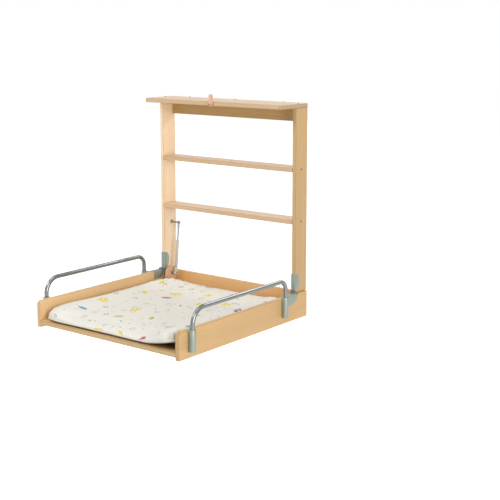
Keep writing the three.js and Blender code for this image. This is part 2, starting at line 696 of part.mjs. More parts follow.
function changingMat() {
  const plan = outline([
    [-MAT_HALF, MAT_FRONT, MAT_CORNER], [MAT_HALF, MAT_FRONT, MAT_CORNER],
    [MAT_HALF, MAT_BACK, MAT_REAR_CORNER], [-MAT_HALF, MAT_BACK, MAT_REAR_CORNER],
  ]);
  const rim = plan.getSpacedPoints(MAT_AROUND).slice(0, -1);
  const drawn = rim.map(({ x, y }) => {
    const u = x / MAT_HALF;
    const v = (y - MAT_MIDDLE) / (MAT_BACK - MAT_MIDDLE);
    const pull = (t) => MAT_DRAW_IN * (1 - t * t);
    return [x - Math.sign(u) * pull(v) * u * u, y - Math.sign(v) * pull(u) * v * v];
  });
  const positions = [];
  const ring = (share, height) => drawn.forEach(([rimX, rimY]) => {
    const x = rimX * share;
    const y = MAT_MIDDLE + (rimY - MAT_MIDDLE) * share;
    positions.push(x, y, MAT_REST + height(x, y, share) + matLift(x, y));
  });
  const pole = (height) => positions.push(0, MAT_MIDDLE, MAT_REST + height);
  pole(matTop(0, MAT_MIDDLE, 0));
  MAT_TOP_RINGS.forEach((share) => ring(share, matTop));
  ring(1, () => MAT_SEAM_HEIGHT);
  MAT_BOTTOM_RINGS.forEach((share) => ring(share, (x, y, s) => matBottom(s)));
  pole(0);
  const rings = MAT_TOP_RINGS.length + 1 + MAT_BOTTOM_RINGS.length;
  const count = drawn.length;
  const last = 1 + rings * count;
  const faces = [];
  for (let i = 0; i < count; i += 1) {
    const next = (i + 1) % count;
    faces.push(0, 1 + i, 1 + next);
    for (let r = 0; r < rings - 1; r += 1) {
      const near = 1 + r * count;
      const far = near + count;
      faces.push(near + i, far + i, far + next, near + i, far + next, near + next);
    }
    faces.push(last, last - count + next, last - count + i);
  }
  const geometry = new THREE.BufferGeometry();
  geometry.setAttribute("position", new THREE.Float32BufferAttribute(positions, 3));
  geometry.setIndex(faces);
  return geometry;
}

piece("changing_mat", changingMat(), MAT_COVER);

export default station;
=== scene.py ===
"""The looks of a wall-mounted, fold-down baby changing table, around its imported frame, in metres."""
import json
import math

import bmesh
import bpy
from mathutils import Matrix, Vector


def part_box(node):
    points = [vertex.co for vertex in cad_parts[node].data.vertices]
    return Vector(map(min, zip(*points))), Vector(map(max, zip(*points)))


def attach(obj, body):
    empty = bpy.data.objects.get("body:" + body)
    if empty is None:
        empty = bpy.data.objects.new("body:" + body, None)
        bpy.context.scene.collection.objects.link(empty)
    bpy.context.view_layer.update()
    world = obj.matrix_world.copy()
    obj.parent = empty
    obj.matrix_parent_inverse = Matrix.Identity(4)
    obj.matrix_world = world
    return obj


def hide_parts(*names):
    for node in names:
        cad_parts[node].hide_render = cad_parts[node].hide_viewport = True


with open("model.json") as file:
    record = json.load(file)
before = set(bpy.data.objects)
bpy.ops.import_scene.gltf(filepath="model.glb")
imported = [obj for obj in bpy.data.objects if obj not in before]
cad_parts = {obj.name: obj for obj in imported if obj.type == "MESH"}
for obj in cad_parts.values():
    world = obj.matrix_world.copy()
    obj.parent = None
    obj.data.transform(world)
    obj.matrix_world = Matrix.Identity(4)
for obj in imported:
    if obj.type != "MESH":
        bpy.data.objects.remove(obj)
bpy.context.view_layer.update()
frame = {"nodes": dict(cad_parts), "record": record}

# Viewpoint
# The table is seen from the front right, a little above its top board, through a long lens.
# The lens is raised a little, which keeps the uprights nearly parallel.
CAMERA_PLACE = Vector((2.9824, -3.7455, 0.3706))
CAMERA_YAW = 0.6601
CAMERA_PITCH = 0.1596
CAMERA_LENS = 78.39
CAMERA_RAISE = 0.1

camera_data = bpy.data.cameras.new("camera")
camera_data.lens = CAMERA_LENS
camera_data.shift_y = -CAMERA_RAISE
camera = bpy.data.objects.new("camera", camera_data)
bpy.context.scene.collection.objects.link(camera)
looking = Vector((
    -math.sin(CAMERA_YAW) * math.cos(CAMERA_PITCH),
    math.cos(CAMERA_YAW) * math.cos(CAMERA_PITCH),
    -math.sin(CAMERA_PITCH),
))
camera.location = CAMERA_PLACE
camera.rotation_euler = looking.to_track_quat("-Z", "Y").to_euler()
bpy.context.scene.camera = camera

# Floor and studio light
# A wide pale floor lies where a room's floor would, well below a table hung at working height.
# Soft lamps hang in front, above and at the right, and a low strip behind edges the steel.
FLOOR_DROP = 0.8
FLOOR_SIZE = 30.0
FLOOR_COLOUR = (0.86, 0.86, 0.85, 1)
FLOOR_GLOW = 0.93
ROOM_LIGHT = 0.37


def add_node(tree, kind, inputs=None, **settings):
    """A shader node; each input is a plain value or another node's output."""
    node = tree.nodes.new("ShaderNode" + kind)
    for name, value in settings.items():
        setattr(node, name, value)
    for name, value in (inputs or {}).items():
        if isinstance(value, bpy.types.NodeSocket):
            tree.links.new(value, node.inputs[name])
        else:
            node.inputs[name].default_value = value
    return node


def calculate(tree, operation, a, b=0.0, c=0.0):
    """The result of a Math node."""
    return add_node(tree, "Math", {0: a, 1: b, 2: c}, operation=operation).outputs[0]


def empty_tree(owner):
    """The node tree of a material or a world, cleared."""
    owner.use_nodes = True
    owner.node_tree.nodes.clear()
    return owner.node_tree


def seen_or_mirrored(tree):
    """One for what the camera sees directly, in a mirror or through glass, else zero."""
    path = add_node(tree, "LightPath")
    either = calculate(tree, "MAXIMUM", path.outputs["Is Camera Ray"], path.outputs["Is Glossy Ray"])
    return calculate(tree, "MAXIMUM", either, path.outputs["Is Transmission Ray"])


def floor_finish():
    material = bpy.data.materials.new("pale_floor")
    tree = empty_tree(material)
    lit = add_node(tree, "BsdfDiffuse", {"Color": FLOOR_COLOUR})
    glow = calculate(tree, "MULTIPLY", seen_or_mirrored(tree), FLOOR_GLOW)
    white = add_node(tree, "Emission", {"Strength": glow})
    both = add_node(tree, "AddShader", {0: lit.outputs[0], 1: white.outputs[0]})
    add_node(tree, "OutputMaterial", {"Surface": both.outputs[0]})
    return material


def add_piece(name, shape, material):
    """A new object at the origin, holding a bmesh that is then freed."""
    mesh = bpy.data.meshes.new(name)
    shape.to_mesh(mesh)
    shape.free()
    mesh.materials.append(material)
    piece = bpy.data.objects.new(name, mesh)
    bpy.context.scene.collection.objects.link(piece)
    return piece


def add_floor():
    shape = bmesh.new()
    bmesh.ops.create_grid(shape, x_segments=1, y_segments=1, size=FLOOR_SIZE / 2)
    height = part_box("tray_rail_left")[0].z - FLOOR_DROP
    bmesh.ops.translate(shape, verts=shape.verts, vec=(0, 0, height))
    return add_piece("floor", shape, floor_finish())


def light_world():
    world = bpy.data.worlds.new("studio")
    bpy.context.scene.world = world
    tree = empty_tree(world)
    dim = add_node(tree, "Background", {"Strength": ROOM_LIGHT})
    white = add_node(tree, "Background", {"Color": (1, 1, 1, 1), "Strength": 1.0})
    mixed = add_node(tree, "MixShader", {0: seen_or_mirrored(tree), 1: dim.outputs[0], 2: white.outputs[0]})
    add_node(tree, "OutputWorld", {"Surface": mixed.outputs[0]})


def add_lamp(name, place, width, height, power):
    """A flat soft lamp that faces the middle of the table."""
    lamp_data = bpy.data.lights.new(name, "AREA")
    lamp_data.shape = "RECTANGLE"
    lamp_data.size = width
    lamp_data.size_y = height
    lamp_data.energy = power
    lamp = bpy.data.objects.new(name, lamp_data)
    bpy.context.scene.collection.objects.link(lamp)
    lamp.location = place
    lamp.rotation_euler = (LAMP_TARGET - Vector(place)).to_track_quat("-Z", "Y").to_euler()


LAMP_TARGET = Vector((0, -0.4, -0.5))
add_floor()
light_world()
add_lamp("key_lamp", (-1.2, -2.8, 1.9), 1.6, 1.6, 62)
add_lamp("top_lamp", (0.2, -0.9, 2.6), 1.4, 1.4, 21)
add_lamp("side_lamp", (4.9, -2.3, 0.3), 2.6, 2.6, 150)
add_lamp("back_lamp", (0.4, 1.85, 1.3), 1.9, 0.9, 26)
bpy.context.scene.view_settings.view_transform = "Standard"

# Wall frame boards
# Planed beech, 18 mm thick with eased edges and a thin matt lacquer: two uprights, a deep top board,
# a batten for the wall screws and two shelves. Every board runs its own grain and has its own tone, and
# some tones carry painted light and shade: the left upright is paler as painted light, and the right
# upright and the wall rail are darker as painted shade.
FIGURE_LENGTH = 0.9
FIGURE_WIDTH = 0.07
STREAK_LENGTH = 0.32
STREAK_WIDTH = 0.0042
FLECK_LENGTH = 0.0042
FLECK_WIDTH = 0.0006
PORE_SIZE = 0.0011
# Painted shade on the eased edges, as a share of the board's tone.
ARRIS_PAINTED_SHADE = 0.7
GRAIN_AXES = {"x": (1, 0, 0), "y": (0, 1, 0), "z": (0, 0, 1)}


def srgb(red, green, blue):
    """A colour as seen on a screen, from 0 to 255, in the linear values that a shader takes."""
    def linear(value):
        share = value / 255
        return share / 12.92 if share <= 0.04045 else ((share + 0.055) / 1.055) ** 2.4
    return (linear(red), linear(green), linear(blue), 1)


def shaded(colour, share):
    """A colour made darker or lighter by a share."""
    return tuple(channel * share for channel in colour[:3]) + (1,)


def ramp(tree, value, low, high):
    """Zero below low, one above high, and smooth between."""
    inputs = {"Value": value, "From Min": low, "From Max": high}
    return add_node(tree, "MapRange", inputs, interpolation_type="SMOOTHSTEP").outputs[0]


def blend_colours(tree, share, first, second):
    """A mix of two colours."""
    return add_node(tree, "Mix", {0: share, 6: first, 7: second}, data_type="RGBA").outputs[2]


def beech(name, grain, tone, offset):
    """Lacquered beech whose grain runs along one axis; the offset gives each board its own figure."""
    material = bpy.data.materials.new(name)
    tree = empty_tree(material)
    place = add_node(tree, "TexCoord")

    def stretched(length, width):
        scale = [1 / length if axis else 1 / width for axis in GRAIN_AXES[grain]]
        inputs = {"Vector": place.outputs["Object"], "Scale": scale, "Location": (offset, offset * 2, offset * 3)}
        return add_node(tree, "Mapping", inputs).outputs[0]

    def noise(length, width, detail):
        inputs = {"Vector": stretched(length, width), "Scale": 1.0, "Detail": detail}
        return add_node(tree, "TexNoise", inputs).outputs["Fac"]

    figure = ramp(tree, noise(FIGURE_LENGTH, FIGURE_WIDTH, 2.0), 0.3, 0.7)
    streak = ramp(tree, noise(STREAK_LENGTH, STREAK_WIDTH, 4.0), 0.35, 0.75)
    fleck = ramp(tree, noise(FLECK_LENGTH, FLECK_WIDTH, 0.0), 0.62, 0.74)
    pores = ramp(tree, noise(PORE_SIZE, PORE_SIZE, 2.0), 0.45, 0.7)
    face = add_node(tree, "VectorMath", {0: place.outputs["Normal"], 1: GRAIN_AXES[grain]}, operation="DOT_PRODUCT")
    end_grain = ramp(tree, calculate(tree, "ABSOLUTE", face.outputs["Value"]), 0.7, 0.95)
    facing = add_node(tree, "VectorMath", {0: place.outputs["Normal"]}, operation="ABSOLUTE").outputs[0]
    sides = add_node(tree, "SeparateXYZ", {0: facing}).outputs
    squarest = calculate(tree, "MAXIMUM", calculate(tree, "MAXIMUM", sides[0], sides[1]), sides[2])
    flat_face = ramp(tree, squarest, 0.93, 0.995)

    broad = blend_colours(tree, figure, shaded(tone, 0.94), shaded(tone, 1.05))
    lined = blend_colours(tree, calculate(tree, "MULTIPLY", streak, 0.5), broad, shaded(tone, 0.84))
    flecked = blend_colours(tree, calculate(tree, "MULTIPLY", fleck, 0.45), lined, shaded(tone, 0.58))
    ends = blend_colours(tree, pores, shaded(tone, 0.88), shaded(tone, 0.66))
    faces = blend_colours(tree, end_grain, flecked, ends)
    # The eased edges are painted darker: painted shade along every arris.
    colour = blend_colours(tree, flat_face, shaded(tone, ARRIS_PAINTED_SHADE), faces)
    depth = calculate(tree, "ADD", streak, calculate(tree, "MULTIPLY", fleck, 2.0))
    bump = add_node(tree, "Bump", {"Strength": 0.2, "Distance": 0.0003, "Height": depth}, invert=True)
    surface = add_node(tree, "BsdfPrincipled", {
        "Base Color": colour,
        "Roughness": calculate(tree, "MULTIPLY_ADD", streak, 0.14, 0.44),
        "Coat Weight": 0.3,
        "Coat Roughness": 0.28,
        "Normal": bump.outputs[0],
    })
    add_node(tree, "OutputMaterial", {"Surface": surface.outputs[0]})
    return material


def finish_node(node, material):
    """A node keeps its shape and takes a new material."""
    mesh = frame["nodes"][node].data
    mesh.materials.clear()
    mesh.materials.append(material)


def finish_boards(boards):
    """Each board takes beech of its own: node, grain direction and tone."""
    for number, (node, grain, tone) in enumerate(boards):
        finish_node(node, beech("beech_" + node, grain, srgb(*tone), 1.7 * (number + 1)))


finish_boards([
    # The left upright's pale tone is painted light, and the right upright's darker tone is painted shade.
    ("upright_left", "z", (251, 221, 182)),
    ("upright_right", "z", (204, 167, 113)),
    ("top_board", "x", (206, 173, 132)),
    # The wall rail's darker, yellower tone is painted shade, the shadow of the top board above it.
    ("wall_rail", "x", (201, 163, 102)),
    ("shelf_upper", "x", (214, 179, 140)),
    ("shelf_lower", "x", (217, 182, 143)),
])

# Frame screws
# Furniture screws with a hexagon socket in a crowned, plated head. Four hold the shelves through the
# uprights and five hold the top board to the uprights and the wall rail.
SCREW_CROWN = 0.002
SCREW_HEAD_LENGTH = 0.0024
SCREW_SHANK = 0.0026
SCREW_EASE = 0.0005
HEX_SOCKET = 0.0021
HEX_DEPTH = 0.0016
TURNED_STEPS = 32
CLOUD_SIZE = 0.016
DRAWN_LINE = 0.0004
DRAWN_STRETCH = 0.04
DRAWN_WEAR = 0.15
CLOUD_WEAR = 0.25
EVEN_GLOSS = 0.8
BODY_OF = {node: body for body, nodes in frame["record"]["behaviour"]["bodies"].items() for node in nodes}


def steel(name, tone, roughness, metallic=1.0, drawn="z"):
    """Plated or drawn steel, clouded a little and with fine drawn lines that break up its gloss."""
    material = bpy.data.materials.new(name)
    tree = empty_tree(material)
    place = add_node(tree, "TexCoord").outputs["Object"]
    cloud = add_node(tree, "TexNoise", {"Vector": place, "Scale": 1 / CLOUD_SIZE, "Detail": 3.0}).outputs["Fac"]
    stretch = [DRAWN_STRETCH if axis else 1 for axis in GRAIN_AXES[drawn]]
    along = add_node(tree, "Mapping", {"Vector": place, "Scale": stretch}).outputs[0]
    lines = add_node(tree, "TexNoise", {"Vector": along, "Scale": 1 / DRAWN_LINE, "Detail": 1.0}).outputs["Fac"]
    clouded = blend_colours(tree, cloud, shaded(tone, 0.94), shaded(tone, 1.05))
    worn = calculate(tree, "MULTIPLY_ADD", lines, roughness * DRAWN_WEAR, roughness * EVEN_GLOSS)
    bump = add_node(tree, "Bump", {"Strength": 0.015, "Distance": 0.0001, "Height": lines})
    surface = add_node(tree, "BsdfPrincipled", {
        "Base Color": clouded,
        "Metallic": metallic,
        "Roughness": calculate(tree, "MULTIPLY_ADD", cloud, roughness * CLOUD_WEAR, worn),
        "Normal": bump.outputs[0],
    })
    add_node(tree, "OutputMaterial", {"Surface": surface.outputs[0]})
    return material


def turned(profile):
    """A shape turned about the Z axis from (radius, height) pairs."""
    shape = bmesh.new()
    points = [shape.verts.new((radius, 0, height)) for radius, height in profile]
    edges = [shape.edges.new(ends) for ends in zip(points, points[1:])]
    bmesh.ops.spin(shape, geom=points + edges, cent=(0, 0, 0), axis=(0, 0, 1), angle=math.tau,
                   steps=TURNED_STEPS, use_merge=True)
    bmesh.ops.remove_doubles(shape, verts=shape.verts, dist=1e-6)
    bmesh.ops.recalc_face_normals(shape, faces=shape.faces)
    return shape


def sink_hexagon(shape, radius, depth):
    """Closes a turned shape's open upper end with a hexagon socket."""
    rim = [edge for edge in shape.edges if edge.is_boundary]
    height = rim[0].verts[0].co.z
    bmesh.ops.create_circle(shape, segments=6, radius=radius, matrix=Matrix.Translation((0, 0, height)))
    hexagon = [edge for edge in shape.edges if edge.is_wire]
    bmesh.ops.bridge_loops(shape, edges=rim + hexagon)
    walls = bmesh.ops.extrude_edge_only(shape, edges=hexagon)["geom"]
    corners = [part for part in walls if isinstance(part, bmesh.types.BMVert)]
    bmesh.ops.translate(shape, verts=corners, vec=(0, 0, -depth))
    bmesh.ops.contextual_create(shape, geom=corners)
    bmesh.ops.recalc_face_normals(shape, faces=shape.faces)


def ease_shading(piece, angle=0.6):
    """Smooth faces that meet gently, with a crisp edge wherever they meet at more than the angle."""
    piece.data.shade_smooth()
    piece.data.set_sharp_from_angle(angle=angle)


def stand_for(piece, slot, *nodes):
    """A piece takes the place of CAD nodes of one body, and moves with that body."""
    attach(piece, BODY_OF[nodes[0]])
    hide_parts(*nodes)


def add_screw(node, outward, material, slot):
    """A screw where its node is, with its head turned outwards."""
    low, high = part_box(node)
    half = (high - low) / 2
    outward = Vector(outward)
    reach = abs(half.dot(outward))
    head = min(half)
    shape = turned([
        (HEX_SOCKET * 1.2, SCREW_CROWN), (head - SCREW_CROWN, SCREW_CROWN),
        (head - SCREW_EASE, SCREW_EASE), (head, 0), (head, -SCREW_HEAD_LENGTH),
        (SCREW_SHANK, -SCREW_HEAD_LENGTH), (SCREW_SHANK, SCREW_CROWN - 2 * reach), (0, SCREW_CROWN - 2 * reach),
    ])
    sink_hexagon(shape, HEX_SOCKET, HEX_DEPTH)
    face = (low + high) / 2 + outward * (reach - SCREW_CROWN)
    turn = outward.to_track_quat("Z", "Y").to_matrix().to_4x4()
    bmesh.ops.transform(shape, matrix=Matrix.Translation(face) @ turn, verts=shape.verts)
    piece = add_piece(node + "_head", shape, material)
    ease_shading(piece)
    stand_for(piece, slot, node)


screw_steel = steel("screw_steel", srgb(126, 119, 106), 0.42)
for shelf in ("upper", "lower"):
    add_screw("shelf_screw_" + shelf + "_left", (-1, 0, 0), screw_steel, "screw_caps")
    add_screw("shelf_screw_" + shelf + "_right", (1, 0, 0), screw_steel, "screw_caps")
for place in ("upright_left", "rail_left", "rail_middle", "rail_right", "upright_right"):
    add_screw("top_screw_" + place, (0, 0, 1), screw_steel, "screw_caps")

# Hinge caps and pins
# Each cap is a U of zinc-plated sheet, pressed round an upright's front edge. A dark riveted pin with
# sleeves joins its lugs to the tray's bracket.
SHEET_EASE = 0.0004


def merged_copy(node):
    """A copy of a CAD node's mesh, with its loose triangles joined up into flat faces."""
    shape = bmesh.new()
    shape.from_mesh(frame["nodes"][node].data)
    bmesh.ops.remove_doubles(shape, verts=shape.verts, dist=1e-5)
    return shape


def add_pressed(node, ease, material, slot):
    """A sheet-metal piece after its node, with its cut edges eased."""
    shape = merged_copy(node)
    bmesh.ops.dissolve_limit(shape, angle_limit=0.02, verts=shape.verts, edges=shape.edges)
    sharp = [edge for edge in shape.edges if edge.is_manifold and edge.calc_face_angle() > 0.5]
    bmesh.ops.bevel(shape, geom=sharp, offset=ease, segments=2, profile=0.5, affect="EDGES",
                    clamp_overlap=True, material=-1)
    piece = add_piece(node + "_pressed", shape, material)
    ease_shading(piece)
    stand_for(piece, slot, node)


plated = steel("plated_sheet", srgb(147, 157, 145), 0.4, 0.4)
sleeve = steel("sleeve_steel", srgb(96, 102, 98), 0.42)
for side in ("left", "right"):
    add_pressed("hinge_cap_" + side, SHEET_EASE, plated, "plated_steel")
    add_pressed("hinge_pin_" + side, SHEET_EASE, sleeve, "dark_steel")

# Turn button
# A small beech bar with round ends, on the top board's front edge. It turns on one screw and keeps the
# folded tray shut.
finish_boards([("turn_button", "z", (228, 184, 150))])
button_screw = steel("button_screw", srgb(178, 152, 118), 0.45)
add_screw("turn_button_screw", (0, -1, 0), button_screw, "dark_steel")

# Tray boards
# The same beech: two side rails, a rear rail and a floor board, glued up as one tray. A rounded ear
# beside the left upright takes the gas strut's lower stud.
finish_boards([
    # The left rail's pale tone is painted light, and the right rail's darker tone is painted shade.
    ("tray_rail_left", "y", (238, 198, 144)),
    ("tray_rail_right", "y", (216, 174, 116)),
    ("tray_rear_rail", "x", (234, 184, 124)),
    ("tray_floor", "x", (210, 174, 122)),
    ("strut_ear", "z", (229, 185, 145)),
])

# Hinge brackets and front clips
# Zinc-plated sheet again: a U over each side rail whose gusset carries the hoop's rear socket, and a
# moulded clip for its front leg, screwed on from inside the tray.
for side, inward in (("left", 1), ("right", -1)):
    add_pressed("hinge_bracket_" + side, SHEET_EASE, plated, "plated_steel")
    add_pressed("railing_clip_" + side, SHEET_EASE, plated, "plated_steel")
    add_screw("railing_clip_screw_" + side, (inward, 0, 0), screw_steel, "screw_caps")

# Railing hoops
# Drawn steel tube, bent twice, with a polished skin. The legs stand in the sockets of bracket and clip,
# and the rear bend is the tighter one.
TUBE_SEGMENTS = 24
FRONT_BEND = 0.065
REAR_BEND = 0.042
BEND_STEPS = 20
REAR_FOOT_RISE = 0.004


def extruded_ring(shape, ring, offset):
    """Draws a ring of edges out by an offset and gives the new ring."""
    drawn = bmesh.ops.extrude_edge_only(shape, edges=ring)["geom"]
    points = [part for part in drawn if isinstance(part, bmesh.types.BMVert)]
    bmesh.ops.translate(shape, verts=points, vec=offset)
    return [part for part in drawn if isinstance(part, bmesh.types.BMEdge) and part.is_boundary]


def bent_ring(shape, ring, centre, angle):
    """Draws a ring of edges round a bend in the hoop's plane and gives the new ring."""
    bent = bmesh.ops.spin(shape, geom=ring, cent=centre, axis=(1, 0, 0), angle=angle, steps=BEND_STEPS)
    return [part for part in bent["geom_last"] if isinstance(part, bmesh.types.BMEdge)]


def add_hoop(node, material):
    low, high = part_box(node)
    radius = (high.x - low.x) / 2
    middle = (low.x + high.x) / 2
    front, rear = low.y + radius, high.y - radius
    top = high.z - radius
    shape = bmesh.new()
    foot = Matrix.Translation((middle, front, low.z))
    bmesh.ops.create_circle(shape, segments=TUBE_SEGMENTS, radius=radius, matrix=foot)
    ring = extruded_ring(shape, list(shape.edges), (0, 0, top - FRONT_BEND - low.z))
    ring = bent_ring(shape, ring, (middle, front + FRONT_BEND, top - FRONT_BEND), -math.pi / 2)
    ring = extruded_ring(shape, ring, (0, rear - REAR_BEND - front - FRONT_BEND, 0))
    ring = bent_ring(shape, ring, (middle, rear - REAR_BEND, top - REAR_BEND), -math.pi / 2)
    extruded_ring(shape, ring, (0, 0, low.z + REAR_FOOT_RISE - top + REAR_BEND))
    bmesh.ops.remove_doubles(shape, verts=shape.verts, dist=1e-6)
    bmesh.ops.holes_fill(shape, edges=shape.edges, sides=TUBE_SEGMENTS)
    bmesh.ops.recalc_face_normals(shape, faces=shape.faces)
    piece = add_piece(node + "_tube", shape, material)
    ease_shading(piece)
    stand_for(piece, "tube_steel", node)


tube = steel("hoop_tube", srgb(126, 130, 128), 0.22, 0.9, "y")
add_hoop("railing_left", tube)
add_hoop("railing_right", tube)

# Gas strut
# A polished rod runs into a painted cylinder, and a grey end fitting turns on a stud at each end. It
# hangs beside the left upright and takes the tray's weight on the way down.
ROD_RADIUS = 0.003
CYLINDER_RADIUS = 0.0065
CYLINDER_EASE = 0.002
CRIMP_PLACE = 0.012
CRIMP_DEPTH = 0.0009
CRIMP_HALF = 0.0022
EYE_RADIUS = 0.008
EYE_HOLE = 0.0043
EYE_HALF = 0.005
EYE_EASE = 0.0012
NECK_RADIUS = 0.005
SHOE_RADIUS = 0.0072
NECK_END = 0.025
NECK_TAPER = 0.0012
STUD_EASE = 0.0008


def centre_of(node):
    low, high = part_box(node)
    return (low + high) / 2


strut_plane = centre_of("strut_cylinder").x
strut_top = Vector((strut_plane, *centre_of("strut_stud_upper").yz))
strut_foot = Vector((strut_plane, *centre_of("strut_stud_lower").yz))
strut_run = strut_foot - strut_top
strut_length = strut_run.length
strut_place = Matrix.Translation(strut_top) @ Matrix.Rotation(math.asin(strut_run.y / strut_length), 4, "X")


def along_strut(profile):
    """A shape turned about the strut's axis, from (radius, distance from the upper eye) pairs."""
    shape = turned([(radius, -distance) for radius, distance in profile])
    bmesh.ops.transform(shape, matrix=strut_place, verts=shape.verts)
    return shape


def add_eye(shape, distance):
    """Adds a barrel-shaped eye across the strut to a shape."""
    barrel = turned([
        (EYE_HOLE, -EYE_HALF), (EYE_RADIUS - EYE_EASE, -EYE_HALF), (EYE_RADIUS, EYE_EASE - EYE_HALF),
        (EYE_RADIUS, EYE_HALF - EYE_EASE), (EYE_RADIUS - EYE_EASE, EYE_HALF), (EYE_HOLE, EYE_HALF),
        (EYE_HOLE, -EYE_HALF),
    ])
    place = strut_place @ Matrix.Translation((0, 0, -distance)) @ Matrix.Rotation(math.pi / 2, 4, "Y")
    bmesh.ops.transform(barrel, matrix=place, verts=barrel.verts)
    mesh = bpy.data.meshes.new("eye")
    barrel.to_mesh(mesh)
    barrel.free()
    shape.from_mesh(mesh)
    bpy.data.meshes.remove(mesh)


def add_strut_piece(node, shape, material, slot):
    piece = add_piece(node + "_turned", shape, material)
    ease_shading(piece)
    stand_for(piece, slot, node)


fitting = steel("strut_fitting", srgb(158, 160, 148), 0.48, 0.6)
moulded = steel("strut_shoe", srgb(196, 198, 180), 0.5, 0.1)
polished = steel("strut_rod_steel", srgb(118, 119, 116), 0.25)
painted = steel("cylinder_paint", srgb(186, 180, 172), 0.36, 0.2)

upper_end = along_strut([
    (0, EYE_HOLE + EYE_EASE), (NECK_RADIUS, EYE_HOLE + EYE_EASE), (NECK_RADIUS, NECK_END - NECK_TAPER),
    (NECK_RADIUS - NECK_TAPER, NECK_END), (0, NECK_END),
])
add_eye(upper_end, 0)
add_strut_piece("strut_end_upper", upper_end, fitting, "dark_steel")

cylinder_end = strut_length - NECK_END
cylinder_start = cylinder_end - (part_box("strut_cylinder")[1].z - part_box("strut_cylinder")[0].z) / (
    -strut_run.z / strut_length)
crimp = cylinder_start + CRIMP_PLACE
add_strut_piece("strut_rod", along_strut([
    (0, NECK_END - NECK_TAPER), (ROD_RADIUS, NECK_END - NECK_TAPER), (ROD_RADIUS, crimp), (0, crimp),
]), polished, "tube_steel")
add_strut_piece("strut_cylinder", along_strut([
    (0, crimp + CRIMP_HALF), (ROD_RADIUS * 1.1, crimp + CRIMP_HALF), (ROD_RADIUS * 1.1, cylinder_start),
    (CYLINDER_RADIUS - CYLINDER_EASE, cylinder_start),
    (CYLINDER_RADIUS - CYLINDER_EASE * 0.3, cylinder_start + CYLINDER_EASE * 0.3),
    (CYLINDER_RADIUS, cylinder_start + CYLINDER_EASE), (CYLINDER_RADIUS, crimp - CRIMP_HALF),
    (CYLINDER_RADIUS - CRIMP_DEPTH, crimp), (CYLINDER_RADIUS, crimp + CRIMP_HALF),
    (CYLINDER_RADIUS, cylinder_end - CYLINDER_EASE),
    (CYLINDER_RADIUS - CYLINDER_EASE * 0.3, cylinder_end - CYLINDER_EASE * 0.3),
    (CYLINDER_RADIUS - CYLINDER_EASE, cylinder_end), (0, cylinder_end),
]), painted, "cylinder_paint")

lower_end = along_strut([
    (0, cylinder_end), (SHOE_RADIUS - NECK_TAPER, cylinder_end), (SHOE_RADIUS, cylinder_end + NECK_TAPER),
    (SHOE_RADIUS, strut_length - EYE_RADIUS), (NECK_RADIUS, strut_length - EYE_HOLE - EYE_EASE),
    (0, strut_length - EYE_HOLE - EYE_EASE),
])
add_eye(lower_end, strut_length)
add_strut_piece("strut_end_lower", lower_end, moulded, "dark_steel")

stud_steel = steel("stud_steel", srgb(146, 140, 126), 0.45)
for node in ("strut_stud_upper", "strut_stud_lower"):
    add_pressed(node, STUD_EASE, stud_steel, "dark_steel")

# Padded mat
# A foam pad in a wipe-clean printed cover with a welded seam round its edge; its flat underside is painted dark, a
# painted shade that deepens the shadow under the mat's edges.
# It is fuller along both sides, swells with its own filling, and lies loose in the tray with its right
# front corner curled up a little.
MAT_VOXEL = 0.007
MAT_PRESSURE = 3.0
MAT_SLACK = 0.006
MAT_SWELL = 0.004
MAT_STEPS = 20
MAT_HELD = 0.25
FRONT_CORNER = 0.062
REAR_CORNER = 0.125
MAT_PUCKER = 0.0055
MAT_PUCKERS = 4
SEAM_IN = 0.004
SEAM_OUT = 0.0035
SEAM_THICKNESS = 0.0024
COVER_TONE = srgb(230, 227, 218)
# Painted shade for the mat's flat underside, and the range of facings that it covers.
UNDERSIDE_SHADE_TONE = srgb(96, 90, 82)
UNDERSIDE_SHADE_FACE = (-0.9, -0.75)
PRINT_LOOSENESS = 0.75
PRINT_EDGE = 0.07
WEAVE_PITCH = 0.0011
YELLOW = srgb(226, 205, 74)
RED = srgb(192, 88, 102)
BLUE = srgb(96, 164, 187)
PURPLE = srgb(126, 88, 138)
PEACH = srgb(238, 190, 164)
OLIVE = srgb(182, 184, 112)
SLATE = srgb(132, 136, 138)
SAGE = srgb(176, 188, 168)


def smooth_step(value):
    share = min(1.0, max(0.0, value))
    return share * share * (3 - 2 * share)


def apply_modifiers(piece):
    """Keeps the shape that a piece's modifiers give it, and drops the modifiers."""
    shaped = piece.evaluated_get(bpy.context.evaluated_depsgraph_get())
    mesh = bpy.data.meshes.new_from_object(shaped)
    piece.modifiers.clear()
    piece.data = mesh


def subdivide(piece, levels):
    modifier = piece.modifiers.new("smooth_skin", "SUBSURF")
    modifier.levels = modifier.render_levels = levels


def swell(piece):
    """Blows the cover up round its filling; what faces down or out stays where it rests."""
    mesh = piece.data
    start = [vertex.co.copy() for vertex in mesh.vertices]
    held = piece.vertex_groups.new(name="held")
    held.add([vertex.index for vertex in mesh.vertices if vertex.normal.z < MAT_HELD], 1.0, "REPLACE")
    modifier = piece.modifiers.new("swell", "CLOTH")
    settings = modifier.settings
    settings.use_pressure = True
    settings.uniform_pressure_force = MAT_PRESSURE
    settings.shrink_min = -MAT_SLACK
    settings.vertex_group_mass = held.name
    settings.effector_weights.gravity = 0
    modifier.point_cache.frame_end = MAT_STEPS
    for step in range(1, MAT_STEPS + 1):
        bpy.context.scene.frame_set(step)
    apply_modifiers(piece)
    bpy.context.scene.frame_set(1)
    for vertex, place in zip(piece.data.vertices, start):
        moved = vertex.co - place
        if moved.length > MAT_SWELL:
            vertex.co = place + moved.normalized() * MAT_SWELL
    piece.vertex_groups.clear()


